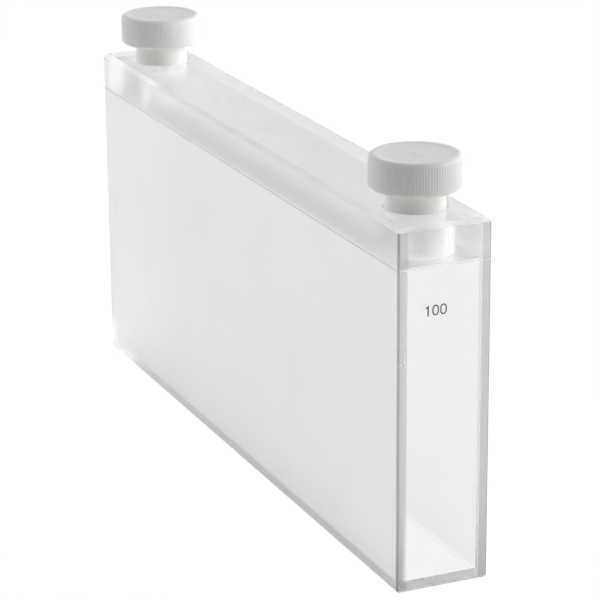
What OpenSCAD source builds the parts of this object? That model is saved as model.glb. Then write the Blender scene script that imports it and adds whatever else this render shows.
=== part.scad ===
// Long-path macro cuvette: six fused silica plates and two knurled stoppers.
// X runs along the light path, Y across the cell, Z up; the origin is under the
// middle of the base. The marked window closes the +X end.

/* [Chamber] */
// Light path between the inner faces of the two windows
path_length = 100; // [40:1:120]
// Clear width between the two side walls
chamber_width = 10; // [9:0.25:20]
// Height of the chamber, from the base plate up to the top block
chamber_height = 40.5; // [20:0.25:60]

/* [Plates] */
// Thickness of each end window
window_thickness = 1.25; // [0.8:0.05:2.5]
// Thickness of each side wall
wall_thickness = 1.25; // [0.8:0.05:2.5]
// Thickness of the base plate
base_thickness = 1.25; // [0.8:0.05:3]
// Height of the solid block across the top
block_height = 5.25; // [4:0.25:12]

/* [Edges] */
// Ground bevel round the top of the block
top_bevel = 0.55; // [0.2:0.05:0.8]
// Ground bevel on the upright corners
corner_bevel = 0.25; // [0.1:0.05:0.5]
// Ground bevel round the foot of the cell
foot_bevel = 0.4; // [0.1:0.05:0.6]
// Fine bevel on plate edges where two plates meet
seam_bevel = 0.06; // [0.02:0.01:0.15]

/* [Filling bores] */
// Distance from each end of the cell to the middle of its bore
bore_inset = 8.25; // [7.5:0.25:15]
// Diameter of each bore
bore_d = 7.6; // [6:0.1:8]
// Countersink round the mouth of each bore
bore_lip = 0.3; // [0.1:0.05:0.5]

/* [Stoppers] */
// Radial clearance between a plug and its bore
plug_clearance = 0.04; // [0.02:0.01:0.1]
// Length of plug inside the bore
plug_depth = 5; // [3:0.25:12]
// Taper lead on the tip of the plug
plug_lead = 0.5; // [0.2:0.1:1]
// Neck left showing under the head of the front stopper
front_neck = 2.4; // [1:0.1:5]
// Neck left showing under the head of the rear stopper
rear_neck = 2.8; // [1:0.1:5]
// Diameter of the knurled head, over the ridges
head_d = 11.6; // [10:0.1:12.5]
// Height of the knurled head
head_height = 4.3; // [3.5:0.1:7]
// Rounding of the head's upper and lower rims
rim_round = 0.65; // [0.3:0.05:1]
// Depth of the shallow dish in the head's top
dish_depth = 0.15; // [0.05:0.05:0.3]
// Diameter of the turning nib in the middle of the dish
nib_d = 0.9; // [0.5:0.1:1.5]
// Number of knurl ridges round the head
knurl_count = 100; // [60:1:120]
// Height of each knurl ridge
knurl_depth = 0.07; // [0.05:0.01:0.2]

/* [Hidden] */

cell_length = path_length + 2 * window_thickness;
cell_width = chamber_width + 2 * wall_thickness;
seam_z = base_thickness + chamber_height;
cell_height = seam_z + block_height;
bore_x = cell_length / 2 - bore_inset;
neck_d = bore_d - 2 * plug_clearance;
overcut = 1;
// The rims stand this far inside the bottoms of the knurl grooves.
knurl_root = 0.02;

silica_clear = [0.90, 0.93, 0.94, 0.45];
silica_ground = [0.88, 0.89, 0.90, 0.85];
stopper_white = [0.95, 0.95, 0.94];

// A plate from one corner to the other, drawn as a plain block.
module plate(low, high) {
    translate(low) cube(high - low);
}

// A square-section bar that shaves an edge. It runs along one axis through the
// point given and is turned 45 degrees, so it takes off `size` from each face.
module shave(point, along, run, size) {
    side = size * sqrt(2);
    turn = along == "x" ? [45, 0, 0] : along == "y" ? [0, 45, 0] : [0, 0, 45];
    stretch = along == "x" ? [run, side, side] : along == "y" ? [side, run, side] : [side, side, run];
    translate(point) rotate(turn) cube(stretch, center = true);
}

// Bevels on every edge round one end of a rectangle at height z: the two that
// run along X and the two that run along Y.
module shave_ring(z, size) {
    for (side = [-1, 1]) {
        shave([0, side * cell_width / 2, z], "x", cell_length + 2 * overcut, size);
        shave([side * cell_length / 2, 0, z], "y", cell_width + 2 * overcut, size);
    }
}

// Bevels on the four upright corners of the cell.
module shave_corners() {
    for (end = [-1, 1], side = [-1, 1])
        shave([end * cell_length / 2, side * cell_width / 2, cell_height / 2], "z",
              cell_height + 2 * overcut, corner_bevel);
}

// All the bevels that the plates below the block share.
module shave_cell() {
    shave_ring(0, foot_bevel);
    shave_ring(seam_z, seam_bevel);
    shave_corners();
}

// End window: full width and height of the cell below the block.
module window(end) {
    inner = end * path_length / 2;
    outer = end * cell_length / 2;
    color(silica_clear)
        difference() {
            plate([min(inner, outer), -cell_width / 2, 0], [max(inner, outer), cell_width / 2, seam_z]);
            shave_cell();
            for (side = [-1, 1])
                shave([inner, side * cell_width / 2, seam_z / 2], "z", seam_z + 2 * overcut, seam_bevel);
        }
}

// Side wall: it stands between the windows and closes one long side.
module side_wall(side) {
    inner = side * chamber_width / 2;
    outer = side * cell_width / 2;
    color(silica_ground)
        difference() {
            plate([-path_length / 2, min(inner, outer), 0], [path_length / 2, max(inner, outer), seam_z]);
            shave_cell();
            for (end = [-1, 1])
                shave([end * path_length / 2, outer, seam_z / 2], "z", seam_z + 2 * overcut, seam_bevel);
        }
}

// Base plate: let in between the walls and the windows.
module base_plate() {
    color(silica_ground)
        plate([-path_length / 2, -chamber_width / 2, 0], [path_length / 2, chamber_width / 2, base_thickness]);
}

// Top block: one bar over all four walls, drilled for the two stoppers.
module top_block() {
    color(silica_clear)
        difference() {
            plate([-cell_length / 2, -cell_width / 2, seam_z], [cell_length / 2, cell_width / 2, cell_height]);
            shave_ring(cell_height, top_bevel);
            shave_ring(seam_z, seam_bevel);
            shave_corners();
            for (end = [-1, 1])
                translate([end * bore_x, 0, 0]) bore();
        }
}

// One filling bore with a small countersink at its mouth.
module bore() {
    translate([0, 0, seam_z - overcut])
        cylinder(d = bore_d, h = block_height + 2 * overcut, $fn = 96);
    translate([0, 0, cell_height - bore_lip])
        cylinder(d1 = bore_d, d2 = bore_d + 2 * (bore_lip + overcut), h = bore_lip + overcut, $fn = 96);
}

// A stopper turned from one rod, with a knurled band pressed round its head.
// z = 0 is where the neck meets the top of the block.
module stopper(neck_height) {
    top_z = neck_height + head_height;
    rim_r = head_d / 2 - knurl_depth - knurl_root;
    neck_r = neck_d / 2;
    dish_r = rim_r - 1.3 * rim_round;
    color(stopper_white) {
        rotate_extrude($fn = 96)
            polygon(concat(
                [[0, -plug_depth], [neck_r - plug_lead / 2, -plug_depth], [neck_r, -plug_depth + plug_lead],
                 [neck_r, neck_height]],
                arc([rim_r - rim_round, neck_height + rim_round], rim_round, -90, 0),
                arc([rim_r - rim_round, top_z - rim_round], rim_round, 0, 90),
                [[dish_r, top_z], [dish_r - 2 * dish_depth, top_z - dish_depth],
                 [nib_d / 2, top_z - dish_depth], [nib_d / 4, top_z - dish_depth / 3],
                 [0, top_z - dish_depth / 3]]));
        translate([0, 0, neck_height + rim_round])
            knurled_band(head_d / 2, head_height - 2 * rim_round);
    }
}

// Points of a circular arc about a centre, from one angle to another.
function arc(centre, r, from, to, steps = 5) =
    [for (i = [0:steps]) let (a = from + (to - from) * i / steps) centre + r * [cos(a), sin(a)]];

// Band of upright V ridges whose tips lie on a circle of radius r.
module knurled_band(r, height) {
    linear_extrude(height)
        polygon([for (i = [0:2 * knurl_count - 1])
            let (a = i * 180 / knurl_count, tip = r - (i % 2) * knurl_depth) tip * [cos(a), sin(a)]]);
}

module front_window() { window(1); }
module rear_window() { window(-1); }
module left_wall() { side_wall(-1); }
module right_wall() { side_wall(1); }
module front_stopper() { translate([bore_x, 0, cell_height]) stopper(front_neck); }
module rear_stopper() { translate([-bore_x, 0, cell_height]) stopper(rear_neck); }

front_window();
rear_window();
left_wall();
right_wall();
base_plate();
top_block();
front_stopper();
rear_stopper();
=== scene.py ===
import math

import bmesh
import bpy
import numpy as np
from mathutils import Matrix, Vector


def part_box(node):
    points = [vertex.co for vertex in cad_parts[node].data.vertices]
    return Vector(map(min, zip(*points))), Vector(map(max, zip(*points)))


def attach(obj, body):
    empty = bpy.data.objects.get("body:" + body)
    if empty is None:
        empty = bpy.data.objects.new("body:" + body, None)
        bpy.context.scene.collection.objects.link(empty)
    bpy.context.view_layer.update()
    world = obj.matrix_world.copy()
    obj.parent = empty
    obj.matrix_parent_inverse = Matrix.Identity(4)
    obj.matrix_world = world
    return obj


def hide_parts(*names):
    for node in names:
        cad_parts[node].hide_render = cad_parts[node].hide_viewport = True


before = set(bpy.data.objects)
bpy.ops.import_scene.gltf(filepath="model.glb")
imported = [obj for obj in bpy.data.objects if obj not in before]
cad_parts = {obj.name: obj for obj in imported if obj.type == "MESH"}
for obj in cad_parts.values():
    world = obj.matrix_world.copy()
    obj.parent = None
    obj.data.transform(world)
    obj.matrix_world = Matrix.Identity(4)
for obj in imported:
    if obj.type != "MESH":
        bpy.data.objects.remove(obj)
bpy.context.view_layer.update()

# ---------------------------------------------------------------------------
# The cell: six plates of fused silica, ground flat and heated until their faces
# join without glue. Light crosses the joints unbroken, so the cell is one closed
# shell of glass round the chamber, with a filling bore near each end of its top.
MM = 0.001
end_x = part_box("front_window")[1].x
side_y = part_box("front_window")[1].y
chamber_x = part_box("front_window")[0].x
chamber_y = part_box("base_plate")[1].y
floor_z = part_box("base_plate")[1].z
joint_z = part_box("top_block")[0].z
top_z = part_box("top_block")[1].z
foot_bevel, joint_bevel, corner_bevel, top_bevel = 0.40 * MM, 0.06 * MM, 0.25 * MM, 0.55 * MM
bore_x, bore_r, bore_lip = 43 * MM, 3.8 * MM, 0.3 * MM
BORE_SIDES, CHAMBER_POINTS = 96, 6
# Points nearer than this are one point.
WELD = 1e-7
POLISHED, SHADED_VEIL, BEDDED, GROUND, SATIN, SILKY, DRILLED, BEVEL, EDGE, JOINT = range(10)


def outline(inset, grooved):
    """Plan of the cell, moved in by inset: a rectangle with cut corners, with a V at
    each upright joint of the long sides, and with each end split where the side walls
    stand behind it. A 45 degree bevel shortens with the inset, so a corner's cut is the
    bevel less twice the inset and a V's is the joint's bevel less the inset. It runs
    anticlockwise from the middle of the +X end."""
    x, y = end_x - inset, side_y - inset
    cut = max(corner_bevel - 2 * inset, 0)
    v = max(joint_bevel - inset, 0) if grooved else 0
    quarter = np.array([[x, 0], [x, chamber_y], [x, y - cut], [x - cut, y], [chamber_x + v, y],
                        [chamber_x, y - v], [chamber_x - v, y]])
    left = quarter[:0:-1] * [-1, 1]
    half = np.vstack([quarter, left])
    return np.vstack([half, half * [-1, -1]])


def ring_faces(first, second, count):
    """Quads that join two closed loops of count points, numbered from first and second."""
    here = np.arange(count)
    after = (here + 1) % count
    return np.stack([first + here, first + after, second + after, second + here], 1)


# The finishes of each band of the outside: in the middle of an end, on the end's rims
# over the side walls, at the corners, and along the sides.
foot = (GROUND, GROUND, EDGE, GROUND)
bed = (BEDDED, SHADED_VEIL, EDGE, GROUND)
window = (POLISHED, SHADED_VEIL, EDGE, GROUND)
seam = (SILKY, SILKY, JOINT, JOINT)
block = (SILKY, SHADED_VEIL, EDGE, GROUND)
brow = (BEVEL, BEVEL, BEVEL, BEVEL)
middle_of_end, end_rim, corner, side = range(4)
# The edges of the plan in the outline's order, with 7 of them along each side.
half_plan = [middle_of_end, end_rim, corner] + [side] * 7 + [corner, end_rim, middle_of_end]
plan_edges = half_plan * 2
# From the foot up: height, inset, whether the upright joints are grooved, and the band above.
outer_steps = [(0, foot_bevel, True, foot),
               (foot_bevel - corner_bevel / 2, corner_bevel / 2, True, foot),
               (foot_bevel - joint_bevel, joint_bevel, True, foot),
               (foot_bevel, 0, True, bed),
               (floor_z, 0, True, window),
               (joint_z - joint_bevel, 0, True, seam),
               (joint_z, joint_bevel, False, seam),
               (joint_z + joint_bevel, 0, False, block),
               (top_z - top_bevel, 0, False, brow),
               (top_z - top_bevel + corner_bevel / 2, corner_bevel / 2, False, brow),
               (top_z, top_bevel, False, None)]
outer = [np.column_stack([plan, np.full(len(plan), z)])
         for z, inset, grooved, _ in outer_steps for plan in [outline(inset, grooved)]]
loop = len(plan_edges)

turn = np.arange(BORE_SIDES) * 2 * math.pi / BORE_SIDES
circle = np.stack([np.cos(turn), np.sin(turn)], 1)


def bore_ring(centre, r, z):
    """One level of a bore: a circle of radius r round its axis."""
    return np.column_stack([circle * r + [centre, 0], np.full(BORE_SIDES, z)])


def chamber_ring(z):
    """One level of the chamber: its rectangle, with a point in the middle of each end."""
    x, y = chamber_x, chamber_y
    plan = np.array([[x, 0], [x, y], [-x, y], [-x, 0], [-x, -y], [x, -y]])
    return np.column_stack([plan, np.full(CHAMBER_POINTS, z)])


bore_steps = [(top_z, bore_r + bore_lip), (top_z - bore_lip, bore_r), (joint_z, bore_r)]
bores = [bore_ring(centre, r, z) for centre in (bore_x, -bore_x) for z, r in bore_steps]
rings = outer + bores + [chamber_ring(joint_z), chamber_ring(floor_z)]
starts = np.cumsum([0] + [len(ring) for ring in rings])
faces, finish = [], []


def add_faces(new, which):
    """Adds faces, each a list of point numbers, with the finish of their surface."""
    faces.extend(np.asarray(new).tolist())
    finish.extend(which if isinstance(which, list) else [which] * len(new))


def holed_halves(rim, rim_count, front_hole, rear_hole):
    """A flat face with two round holes, as two halves that meet along the middle:
    along the rim, back through both holes' edges, and home."""
    rim_half = rim_count // 2
    upper = np.arange(BORE_SIDES // 2, -1, -1)
    lower = -np.arange(0, BORE_SIDES // 2 + 1) % BORE_SIDES
    there = rim + np.arange(rim_half + 1)
    home = rim + (rim_half + np.arange(rim_half + 1)) % rim_count
    return (np.concatenate([there, rear_hole + upper, front_hole + upper]),
            np.concatenate([home, front_hole + lower, rear_hole + lower]))


for level, (_, _, _, band) in enumerate(outer_steps[:-1]):
    add_faces(ring_faces(starts[level], starts[level + 1], loop),
              [band[edge] for edge in plan_edges])
add_faces([np.arange(loop)[::-1]], POLISHED)
front_bore = len(outer)
rear_bore, ceiling = front_bore + len(bore_steps), front_bore + len(bores)
for mouth in (front_bore, rear_bore):
    for level, which in ((mouth, GROUND), (mouth + 1, DRILLED)):
        add_faces(ring_faces(starts[level + 1], starts[level], BORE_SIDES)[:, ::-1], which)
add_faces(ring_faces(starts[ceiling + 1], starts[ceiling], CHAMBER_POINTS)[:, ::-1], POLISHED)
add_faces([starts[ceiling + 1] + np.arange(CHAMBER_POINTS)], POLISHED)
add_faces(holed_halves(starts[front_bore - 1], loop, starts[front_bore], starts[rear_bore]), SATIN)
for f in holed_halves(starts[ceiling], CHAMBER_POINTS, starts[rear_bore - 1], starts[ceiling - 1]):
    add_faces([f[::-1]], GROUND)

mesh = bpy.data.meshes.new("silica_cell")
mesh.from_pydata(np.vstack(rings).tolist(), [], faces)
mesh.polygons.foreach_set("material_index", finish)
shape = bmesh.new()
shape.from_mesh(mesh)
bmesh.ops.remove_doubles(shape, verts=shape.verts, dist=WELD)
bmesh.ops.dissolve_degenerate(shape, edges=shape.edges, dist=WELD)
bmesh.ops.triangulate(shape, faces=[f for f in shape.faces if len(f.verts) > 4])
shape.to_mesh(mesh)
shape.free()
cell = bpy.data.objects.new("silica_cell", mesh)
bpy.context.scene.collection.objects.link(cell)


def linear(hex_colour):
    """sRGB hex to linear light: each channel over 255, and then sRGB's own curve."""
    c = np.array([int(hex_colour[i:i + 2], 16) for i in (1, 3, 5)]) / 255
    return (*np.where(c <= 0.04045, c / 12.92, ((c + 0.055) / 1.055) ** 2.4), 1.0)


def empty_material(name):
    """A material with nothing in it yet, and its node tree."""
    made = bpy.data.materials.new(name)
    made.use_nodes = True
    made.node_tree.nodes.clear()
    return made, made.node_tree


def add_node(tree, kind, inputs=None, **settings):
    """Adds a node, sets its properties, and fills each named or numbered input with
    a value or a link from another node's socket."""
    made = tree.nodes.new(kind)
    for name, value in settings.items():
        setattr(made, name, value)
    for name, value in (inputs or {}).items():
        if isinstance(value, bpy.types.NodeSocket):
            tree.links.new(value, made.inputs[name])
        else:
            made.inputs[name].default_value = value
    return made


SILICA_IOR = 1.458
# Noise stays between these two levels nearly everywhere.
NOISE_LOW, NOISE_HIGH = 0.3, 0.7
# Wiping marks run across the cell: there are this many to a millimetre along X, Y and Z,
# so each is about 7 mm long and 2 mm high, and hardly deep at all. They are turned off
# the grid of the noise.
wipes, wipe_turn = [0.9 / MM, 0.14 / MM, 0.42 / MM], (0.5, 0.3, 0.2)
wipe_depth, wipe_strength = 0.02 * MM, 0.001
# Real grit leaves pits of a few hundredths of a millimetre. They are drawn this wide,
# so that they can show. The finish is a little uneven, in clouds about 11 mm across.
pit_width, pit_depth, pit_strength = 0.12 * MM, 0.04 * MM, 0.25
finish_clouds, unevenness = 0.09 / MM, 0.1


def polished_silica(name, colour):
    """Fused silica, lapped and optically polished: clear to the edge, with only a faint
    haze of fine wiping marks."""
    made, tree = empty_material(name)
    place = add_node(tree, "ShaderNodeTexCoord").outputs["Object"]
    wiping = add_node(tree, "ShaderNodeMapping", {"Vector": place, "Rotation": wipe_turn,
                                                  "Scale": wipes})
    marks = add_node(tree, "ShaderNodeTexNoise", {"Vector": wiping.outputs[0], "Scale": 1.0,
                                                  "Detail": 3.0})
    ripple = add_node(tree, "ShaderNodeBump", {
        "Height": marks.outputs["Fac"], "Strength": wipe_strength, "Distance": wipe_depth})
    glass = add_node(tree, "ShaderNodeBsdfPrincipled", {
        "Base Color": linear(colour), "Roughness": 0.0, "IOR": SILICA_IOR,
        "Transmission Weight": 1.0, "Normal": ripple.outputs[0]})
    add_node(tree, "ShaderNodeOutputMaterial", {"Surface": glass.outputs[0]})
    return made


def ground_silica(name, colour, roughness):
    """Fused silica ground with loose grit: a skin of fine pits that lets light in but
    blurs what lies behind it. A finer grit leaves it smoother and clearer."""
    made, tree = empty_material(name)
    place = add_node(tree, "ShaderNodeTexCoord").outputs["Object"]
    grain = add_node(tree, "ShaderNodeTexNoise", {"Vector": place, "Scale": 1 / pit_width,
                                                  "Detail": 2.0})
    clouds = add_node(tree, "ShaderNodeTexNoise", {"Vector": place, "Scale": finish_clouds,
                                                   "Detail": 3.0})
    matt = add_node(tree, "ShaderNodeMapRange", {
        "Value": clouds.outputs["Fac"], "From Min": NOISE_LOW, "From Max": NOISE_HIGH,
        "To Min": roughness * (1 - unevenness), "To Max": roughness * (1 + unevenness)})
    pits = add_node(tree, "ShaderNodeBump", {
        "Height": grain.outputs["Fac"], "Strength": pit_strength * roughness,
        "Distance": pit_depth})
    glass = add_node(tree, "ShaderNodeBsdfPrincipled", {
        "Base Color": linear(colour), "Roughness": matt.outputs[0], "IOR": SILICA_IOR,
        "Transmission Weight": 1.0, "Normal": pits.outputs[0]})
    add_node(tree, "ShaderNodeOutputMaterial", {"Surface": glass.outputs[0]})
    return made


# In the order of the finishes above. The windows and the chamber are polished clear.
mesh.materials.append(polished_silica("polished_fused_silica", "#FFFFFF"))
for made_how in (
        # Over the ends of the side walls a window is fused to ground glass: a veil, whose grey
        # tint is painted shade on all the ends' rims.
        ("veiled_shaded_silica", "#CBCBCA", 0.30),
        # Over the base's end the same joint is brighter, with light led along the plate.
        ("bedded_fused_silica", "#FFFFFF", 0.20),
        # The long sides are fine ground: frosted, and clouded to a soft even white.
        ("ground_fused_silica", "#E9E9E8", 0.45),
        # The top is half polished after grinding: satin, with blurred shapes under it.
        ("satin_fused_silica", "#F8F8F7", 0.25),
        # The block's ends are nearly polished: silky, so that a plug shows soft but plain.
        ("silky_fused_silica", "#FCFCFC", 0.24),
        # The bores are left as a diamond drill grinds them: a plug shows as a soft white.
        ("drilled_fused_silica", "#FFFFFF", 0.60),
        # The top bevels are ground like the sides but left untinted, which is painted light: they
        # read as the whitest edges of the cell.
        ("lit_bevel_silica", "#FFFFFF", 0.45),
        # The corners' bevels are coarse ground and tinted dark grey as painted shade, and read as
        # thin grey lines.
        ("shaded_bevel_silica", "#8C8C8A", 0.45),
        # The hairline grooves at the joints are tinted darker still, and read as dark lines.
        ("joint_fused_silica", "#858583", 0.45)):
    mesh.materials.append(ground_silica(*made_how))
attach(cell, "cell")
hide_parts("front_window", "rear_window", "left_wall", "right_wall", "base_plate",
            "top_block")

# ---------------------------------------------------------------------------
# The length mark: the plain number 100 printed small on the marked window, in grey
# ceramic ink that is fired on. The film is about 0.01 mm thick and keyed into the glass.
mark_foot, mark_height, film, key = 35.65 * MM, 1.35 * MM, 0.010 * MM, 0.004 * MM
one_right, nought_middles, nought_width = -2.15 * MM, (-1.24 * MM, -0.19 * MM), 0.91 * MM
stroke, squareness = 0.17 * MM, 0.85
NOUGHT_SIDES = 48


def nought(middle, inset):
    """Outline of a nought, moved in by inset: an ellipse whose cosine and sine are each
    raised to a power a little under 1, with their signs kept, which squares it."""
    a = np.arange(NOUGHT_SIDES) * 2 * math.pi / NOUGHT_SIDES
    across, upwards = [np.sign(wave) * np.abs(wave) ** squareness
                       for wave in (np.cos(a), np.sin(a))]
    return np.column_stack([middle + (nought_width / 2 - inset) * across,
                            mark_foot + mark_height / 2 + (mark_height / 2 - inset) * upwards])


def both_sides(plan):
    """The points of an outline at the film's back, in the glass, and then at its front."""
    return np.vstack([np.column_stack([np.full(len(plan), x), plan])
                      for x in (end_x - key, end_x + film)])


# The one: a stem with a short curved flag, anticlockwise from its right foot, in parts
# of the mark's height.
one = np.array([[0, 0], [0, 1], [-0.10, 1], [-0.13, 0.91], [-0.19, 0.86], [-0.32, 0.83],
                [-0.32, 0.73], [-0.14, 0.73], [-0.14, 0]]) * mark_height + [one_right, mark_foot]
count = len(one)
points = [both_sides(one)]
mark_faces = [[*range(count, 2 * count)], [*range(count)][::-1],
              *ring_faces(0, count, count).tolist()]
for middle in nought_middles:
    back = sum(len(p) for p in points)
    front, hole_back, hole_front = [back + i * NOUGHT_SIDES for i in (1, 2, 3)]
    points += [both_sides(nought(middle, 0)), both_sides(nought(middle, stroke))]
    for first, second in ((back, front), (front, hole_front), (hole_front, hole_back),
                          (hole_back, back)):
        mark_faces += ring_faces(first, second, NOUGHT_SIDES).tolist()
mark_mesh = bpy.data.meshes.new("length_mark")
mark_mesh.from_pydata(np.vstack(points).tolist(), [], mark_faces)
mark = bpy.data.objects.new("length_mark", mark_mesh)
bpy.context.scene.collection.objects.link(mark)
# Ink laid through a screen: its body varies softly and its skin is stippled, six dots to
# a millimetre. It is grey, with a dull shine.
ink_dots, stipple_depth, stipple_strength = 6 / MM, 0.01 * MM, 0.2
full_ink, thin_ink = "#525252", "#6C6C6C"
ink_shine, ink_dull = 0.35, 0.55
ink, tree = empty_material("fired_grey_ink")
place = add_node(tree, "ShaderNodeTexCoord").outputs["Object"]
body = add_node(tree, "ShaderNodeTexNoise", {"Vector": place, "Scale": ink_dots, "Detail": 3.0})
tone = add_node(tree, "ShaderNodeMix", {0: body.outputs["Fac"], 6: linear(full_ink),
                                        7: linear(thin_ink)}, data_type="RGBA")
skin = add_node(tree, "ShaderNodeMapRange", {
    "Value": body.outputs["Fac"], "From Min": NOISE_LOW, "From Max": NOISE_HIGH,
    "To Min": ink_shine, "To Max": ink_dull})
stipple = add_node(tree, "ShaderNodeBump", {
    "Height": body.outputs["Fac"], "Strength": stipple_strength, "Distance": stipple_depth})
enamel = add_node(tree, "ShaderNodeBsdfPrincipled", {
    "Base Color": tone.outputs[2], "Roughness": skin.outputs[0], "Normal": stipple.outputs[0]})
add_node(tree, "ShaderNodeOutputMaterial", {"Surface": enamel.outputs[0]})
mark_mesh.materials.append(ink)
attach(mark, "cell")

# ---------------------------------------------------------------------------
# The stoppers: each is turned from one rod of white fluoropolymer, then a straight
# knurl is rolled round its head. The plug runs into the bore with a slim clearance.
head_r, head_height, rim_round = 5.8 * MM, 4.3 * MM, 0.65 * MM
plug_r, plug_depth, plug_lead, neck_round = 3.76 * MM, 5.0 * MM, 0.5 * MM, 0.15 * MM
# The dish in the top: how far in from the rim's rounding, and how deep.
dish, dish_flat_r, nib_r = 0.15 * MM, 2.2 * MM, 0.45 * MM
dish_fall = np.array([[0.18, 0.004], [0.42, 0.05], [0.8, 0.1275], [1.3, 0.15]]) * MM
# The turning nib in the dish: parts of its radius, and of the dish's depth.
nib_rise = np.array([[1.2, 1], [0.8, 0.8], [0.45, 0.45], [0.15, 0.35]]) * [nib_r, dish]
ridges, ridge_steps, knurl_depth, crest_power = 100, 6, 0.06 * MM, 0.4
# The knurl deepens above the lower rim and fades under the upper one, between these
# distances from the head's underside and its top.
knurl_in, knurl_out = (0.35 * rim_round, 0.85 * rim_round), (0.55 * rim_round, 0.90 * rim_round)
# Rings that keep the long straight faces of the plug, the neck and the head even.
tip_ring, plug_ring, neck_ring, underside_ring = 0.4 * plug_r, 1.2 * MM, 0.4 * MM, 1.2 * MM
HEAD_RINGS, LEAD_STEPS, NECK_STEPS, LOWER_RIM_STEPS, UPPER_RIM_STEPS = 6, 4, 4, 9, 11
# The waxy rod lets a little light in, so its edges glow softly. It is pressed from
# powder, which leaves it faintly clouded, in clouds about 3 mm across.
PTFE_IOR, PTFE_SPECULAR = 1.35, 0.2
rod_clouds, rod_shine, rod_dull = 0.3 / MM, 0.30, 0.42
rod_shade, rod_white = "#F3F3F1", "#F8F8F6"
glow_share, glow_depth = 0.25, 1.2 * MM
ptfe, tree = empty_material("turned_white_ptfe")
place = add_node(tree, "ShaderNodeTexCoord").outputs["Object"]
cloud = add_node(tree, "ShaderNodeTexNoise", {"Vector": place, "Scale": rod_clouds, "Detail": 3.0})
sheen = add_node(tree, "ShaderNodeMapRange", {
    "Value": cloud.outputs["Fac"], "From Min": NOISE_LOW, "From Max": NOISE_HIGH,
    "To Min": rod_shine, "To Max": rod_dull})
tone = add_node(tree, "ShaderNodeMix", {0: cloud.outputs["Fac"], 6: linear(rod_shade),
                                        7: linear(rod_white)}, data_type="RGBA")
plastic = add_node(tree, "ShaderNodeBsdfPrincipled", {
    "Base Color": tone.outputs[2], "Roughness": sheen.outputs[0], "IOR": PTFE_IOR,
    "Specular IOR Level": PTFE_SPECULAR, "Subsurface Weight": glow_share,
    "Subsurface Scale": glow_depth, "Subsurface Radius": (1, 1, 1)})
add_node(tree, "ShaderNodeOutputMaterial", {"Surface": plastic.outputs[0]})
turns = ridges * ridge_steps
angle = np.arange(turns) * 2 * math.pi / turns
# One ridge is flat-topped: a cosine pressed towards its crest, from 0 in the groove to 1.
crest = (0.5 - 0.5 * np.cos(angle * ridges)) ** crest_power


def arc(centre_r, centre_z, radius, first, last, count):
    """Points of a round fillet in the profile: its centre plus radius times the cosine
    and the sine of an angle that runs from first to last, in degrees."""
    a = np.radians(np.linspace(first, last, count))
    return np.stack([centre_r + radius * np.cos(a), centre_z + radius * np.sin(a)], 1)


for name, body, centre in (("front_stopper", "front_plug", bore_x),
                           ("rear_stopper", "rear_plug", -bore_x)):
    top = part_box(name)[1].z
    low = top - head_height
    tip = top_z - plug_depth
    rim_r = head_r - rim_round
    profile = np.vstack([
        [[tip_ring, tip], [plug_r - plug_lead / 2, tip]],
        arc(plug_r - plug_lead / 2, tip + plug_lead / 2, plug_lead / 2, -60, 0, LEAD_STEPS),
        [[plug_r, top_z - plug_ring], [plug_r, top_z], [plug_r, low - neck_ring]],
        arc(plug_r + neck_round, low - neck_round, neck_round, 180, 90, NECK_STEPS),
        [[head_r - underside_ring, low]],
        arc(rim_r, low + rim_round, rim_round, -90, 0, LOWER_RIM_STEPS),
        np.column_stack([np.full(HEAD_RINGS, head_r), np.linspace(
            low + rim_round, top - rim_round, HEAD_RINGS + 2)[1:-1]]),
        arc(rim_r, top - rim_round, rim_round, 0, 90, UPPER_RIM_STEPS),
        [rim_r, top] - dish_fall,
        [[dish_flat_r, top - dish]],
        [0, top] + nib_rise * [1, -1]])
    r, z = profile[:, 0], profile[:, 1]
    knurled = (np.interp(z - low, knurl_in, (0, 1)) * np.interp(top - z, knurl_out, (0, 1))
               * (r > rim_r))
    # The profile turned round its axis, each radius less the knurl's depth in a groove.
    grid_r = r[:, None] - knurl_depth * knurled[:, None] * (1 - crest[None, :])
    points = np.stack([centre + grid_r * np.cos(angle), grid_r * np.sin(angle),
                       np.broadcast_to(z[:, None], grid_r.shape)], 2).reshape(-1, 3)
    last_ring = (len(profile) - 1) * turns
    quads = np.vstack([ring_faces(start, start + turns, turns)
                       for start in range(0, last_ring, turns)])
    # One point on the axis closes the plug's tip, and the next one closes the nib.
    pole = len(points)
    points = np.vstack([points, [[centre, 0, z[0]], [centre, 0, z[-1]]]])
    here, after = np.arange(turns), (np.arange(turns) + 1) % turns
    caps = np.vstack([
        np.stack([after, here, np.full(turns, pole)], 1),
        np.stack([last_ring + here, last_ring + after, np.full(turns, pole + 1)], 1)])
    stopper_mesh = bpy.data.meshes.new("turned_" + name)
    stopper_mesh.from_pydata(points.tolist(), [], quads.tolist() + caps.tolist())
    stopper_mesh.polygons.foreach_set("use_smooth", [True] * len(stopper_mesh.polygons))
    stopper_mesh.materials.append(ptfe)
    stopper = bpy.data.objects.new("turned_" + name, stopper_mesh)
    bpy.context.scene.collection.objects.link(stopper)
    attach(stopper, body)
    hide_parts(name)

# ---------------------------------------------------------------------------
# The camera: near the marked end and a little above the cell, looking back along it.
# Its lens is long, so that the cell's lines draw together only a little.
azimuth, elevation, roll = np.radians([66.361, 18.248, -0.442])
eye = [0.32173, -0.13735, 0.13740]
forward = np.array([-math.sin(azimuth) * math.cos(elevation),
                    math.cos(azimuth) * math.cos(elevation), -math.sin(elevation)])
level = np.array([math.cos(azimuth), math.sin(azimuth), 0])
upward = np.cross(level, forward)
right = math.cos(roll) * level + math.sin(roll) * upward
up = -math.sin(roll) * level + math.cos(roll) * upward
lens = bpy.data.cameras.new("camera")
lens.lens, lens.sensor_width = 159.73, 36.0
lens.clip_start, lens.clip_end = 0.01, 20.0
camera = bpy.data.objects.new("camera", lens)
turned = np.eye(4)
turned[:3, 0], turned[:3, 1], turned[:3, 2], turned[:3, 3] = right, up, -forward, eye
camera.matrix_world = Matrix(turned.tolist())
bpy.context.scene.collection.objects.link(camera)
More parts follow.
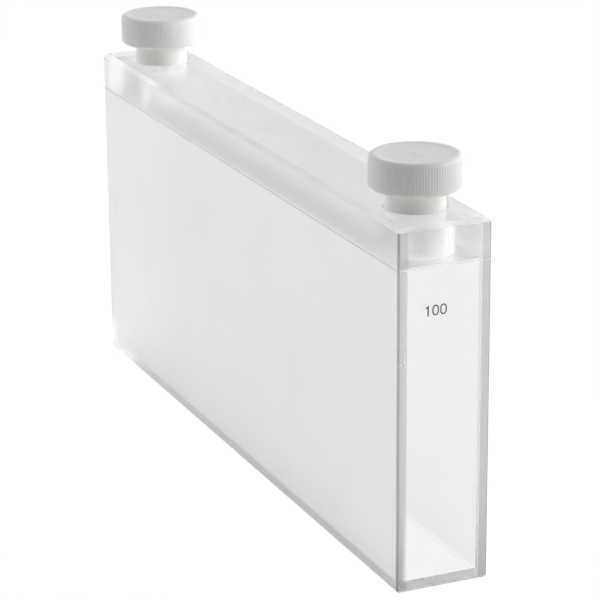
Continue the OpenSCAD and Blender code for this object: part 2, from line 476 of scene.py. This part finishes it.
bpy.context.scene.camera = camera
bpy.context.scene.view_settings.view_transform = "Standard"
# Light runs many times back and forth inside the clear block before it leaves, and
# the renderer's own softening of glossy paths would lose a third of it on the way.
paths = bpy.context.scene.cycles
paths.blur_glossy = 0.0
paths.max_bounces, paths.glossy_bounces, paths.transmission_bounces = 32, 24, 24

# ---------------------------------------------------------------------------
# The floor: a plain white table. To the eye, in gloss and through the glass it is nine
# parts white glow to one of paint, which keeps the shadow. Matt surfaces get the paint.
table_reach, table_gap = 3, 0.02 * MM
glow_part, glow_level, glow_for_eye = 0.9, 1.03, 0.03
table_paint = "#F8F8F8"
# The eye follows a ray up to its first matt surface. Until then its Diffuse Depth is 0.
FIRST_MATT = 0.5
floor_mesh = bpy.data.meshes.new("table")
floor_mesh.from_pydata([(x * table_reach, y * table_reach, -table_gap)
                        for x, y in ((-1, -1), (1, -1), (1, 1), (-1, 1))], [], [(0, 1, 2, 3)])
table = bpy.data.objects.new("table", floor_mesh)
bpy.context.scene.collection.objects.link(table)
white, tree = empty_material("white_table")
path = add_node(tree, "ShaderNodeLightPath")
sharp = add_node(tree, "ShaderNodeMath", {
    0: path.outputs["Is Glossy Ray"], 1: path.outputs["Is Transmission Ray"]}, operation="MAXIMUM")
before_matt = add_node(tree, "ShaderNodeMath", {
    0: path.outputs["Diffuse Depth"], 1: FIRST_MATT}, operation="LESS_THAN")
sharp = add_node(tree, "ShaderNodeMath", {
    0: sharp.outputs[0], 1: before_matt.outputs[0]}, operation="MULTIPLY")
seen = add_node(tree, "ShaderNodeMath", {
    0: path.outputs["Is Camera Ray"], 1: sharp.outputs[0]}, operation="MAXIMUM")
share = add_node(tree, "ShaderNodeMath", {0: seen.outputs[0], 1: glow_part}, operation="MULTIPLY")
white_level = add_node(tree, "ShaderNodeMath", {
    0: path.outputs["Is Camera Ray"], 1: glow_for_eye, 2: glow_level}, operation="MULTIPLY_ADD")
paint = add_node(tree, "ShaderNodeBsdfDiffuse", {"Color": linear(table_paint)})
glow = add_node(tree, "ShaderNodeEmission", {"Color": (1, 1, 1, 1),
                                             "Strength": white_level.outputs[0]})
both = add_node(tree, "ShaderNodeMixShader", {
    0: share.outputs[0], 1: paint.outputs[0], 2: glow.outputs[0]})
add_node(tree, "ShaderNodeOutputMaterial", {"Surface": both.outputs[0]})
floor_mesh.materials.append(white)

# ---------------------------------------------------------------------------
# The studio: a white backdrop to the eye, nearly white in gloss, and low round the table
# in the glass, under a dim room that is brighter on the camera's side. Matt surfaces get
# broad soft light from the right, from behind on the left, and a little from overhead.
world = bpy.data.worlds.new("studio")
bpy.context.scene.world = world
world.use_nodes = True
tree = world.node_tree
tree.nodes.clear()
way = add_node(tree, "ShaderNodeTexCoord").outputs["Generated"]
# Each lobe: its heading and its rise in degrees, its strength, and the power that narrows it.
matt_base, matt_lobes = 0.05, ((60, 6, 2.85, 6.0), (90, 6, 1.05, 6.0), (215, 6, 2.50, 6.0),
                               (0, 90, 0.48, 6.0))
room_base, room_lobes = 0.28, ((0, 12, 1.35, 4.0), (45, 12, 0.75, 4.0), (315, 12, 0.90, 4.0))
# The backdrop is full up to 4 degrees round the table, and fades out by 10 degrees.
BACKDROP_FULL, BACKDROP_END = 0.07, 0.17
# A plug or a neck gets this much more light through the glass, which gathers it from all
# round, and gloss shows this much of the white.
gathered_extra, gloss_level, white_to_eye = 0.45, 0.85, 1.0


def soft_glow(base, lobes):
    """Light that depends on its direction: a base level, and for each lobe its strength
    times a power of the cosine between the ray and the lobe's middle, cut off at 0."""
    total = base
    for heading, rise, strength, power in lobes:
        turned, raised = math.radians(heading), math.radians(rise)
        middle = (math.cos(turned) * math.cos(raised), math.sin(turned) * math.cos(raised),
                  math.sin(raised))
        facing = add_node(tree, "ShaderNodeVectorMath", {0: way, 1: middle},
                          operation="DOT_PRODUCT")
        near = add_node(tree, "ShaderNodeMath", {0: facing.outputs["Value"], 1: 0.0},
                        operation="MAXIMUM")
        lobe = add_node(tree, "ShaderNodeMath", {0: near.outputs[0], 1: power}, operation="POWER")
        total = add_node(tree, "ShaderNodeMath", {0: lobe.outputs[0], 1: strength, 2: total},
                         operation="MULTIPLY_ADD").outputs[0]
    return total


# The light for matt surfaces, and the room as it shows in clear glass.
lit = soft_glow(matt_base, matt_lobes)
room = soft_glow(room_base, room_lobes)
height = add_node(tree, "ShaderNodeSeparateXYZ", {0: way}).outputs["Z"]
backdrop = add_node(tree, "ShaderNodeMapRange", {
    "Value": height, "From Min": BACKDROP_FULL, "From Max": BACKDROP_END,
    "To Min": 1.0, "To Max": 0.0}, interpolation_type="SMOOTHSTEP")
around = add_node(tree, "ShaderNodeMath", {0: room, 1: backdrop.outputs[0]}, operation="ADD")
path = add_node(tree, "ShaderNodeLightPath")
before_matt = add_node(tree, "ShaderNodeMath", {
    0: path.outputs["Diffuse Depth"], 1: FIRST_MATT}, operation="LESS_THAN")
gathered = add_node(tree, "ShaderNodeMath", {
    0: path.outputs["Is Transmission Ray"], 1: gathered_extra, 2: lit}, operation="MULTIPLY_ADD")
clear = add_node(tree, "ShaderNodeMath", {
    0: path.outputs["Is Transmission Ray"], 1: before_matt.outputs[0]}, operation="MULTIPLY")
through = add_node(tree, "ShaderNodeMix", {
    0: clear.outputs[0], 2: gathered.outputs[0], 3: around.outputs[0]})
# A refracted ray counts as glossy as well, so a mirrored one is glossy and nothing else.
mirrored = add_node(tree, "ShaderNodeMath", {
    0: path.outputs["Is Glossy Ray"], 1: path.outputs["Is Transmission Ray"]},
    operation="SUBTRACT", use_clamp=True)
mirrored = add_node(tree, "ShaderNodeMath", {
    0: mirrored.outputs[0], 1: before_matt.outputs[0]}, operation="MULTIPLY")
mirrored = add_node(tree, "ShaderNodeMath", {
    0: mirrored.outputs[0], 1: gloss_level}, operation="MULTIPLY")
seen = add_node(tree, "ShaderNodeMath", {
    0: path.outputs["Is Camera Ray"], 1: mirrored.outputs[0]}, operation="MAXIMUM")
strength = add_node(tree, "ShaderNodeMix", {0: seen.outputs[0], 2: through.outputs[0],
                                            3: white_to_eye})
sky = add_node(tree, "ShaderNodeBackground", {"Color": (1, 1, 1, 1),
                                              "Strength": strength.outputs[0]})
add_node(tree, "ShaderNodeOutputWorld", {"Surface": sky.outputs[0]})


def soft_lamp(name, place, aim, size, watts):
    """A square soft box at place, pointed at aim."""
    data = bpy.data.lights.new(name, "AREA")
    data.size, data.energy = size, watts
    lamp = bpy.data.objects.new(name, data)
    lamp.location = place
    lamp.rotation_euler = (Vector(aim) - Vector(place)).to_track_quat("-Z", "Y").to_euler()
    bpy.context.scene.collection.objects.link(lamp)


soft_lamp("right_card", place=(0.021, 0.122, 0.100), aim=(-0.03, 0, 0.05), size=0.12, watts=0.078)
soft_lamp("left_card", place=(-0.056, -0.128, 0.100), aim=(-0.02, 0, 0.05), size=0.12, watts=0.026)
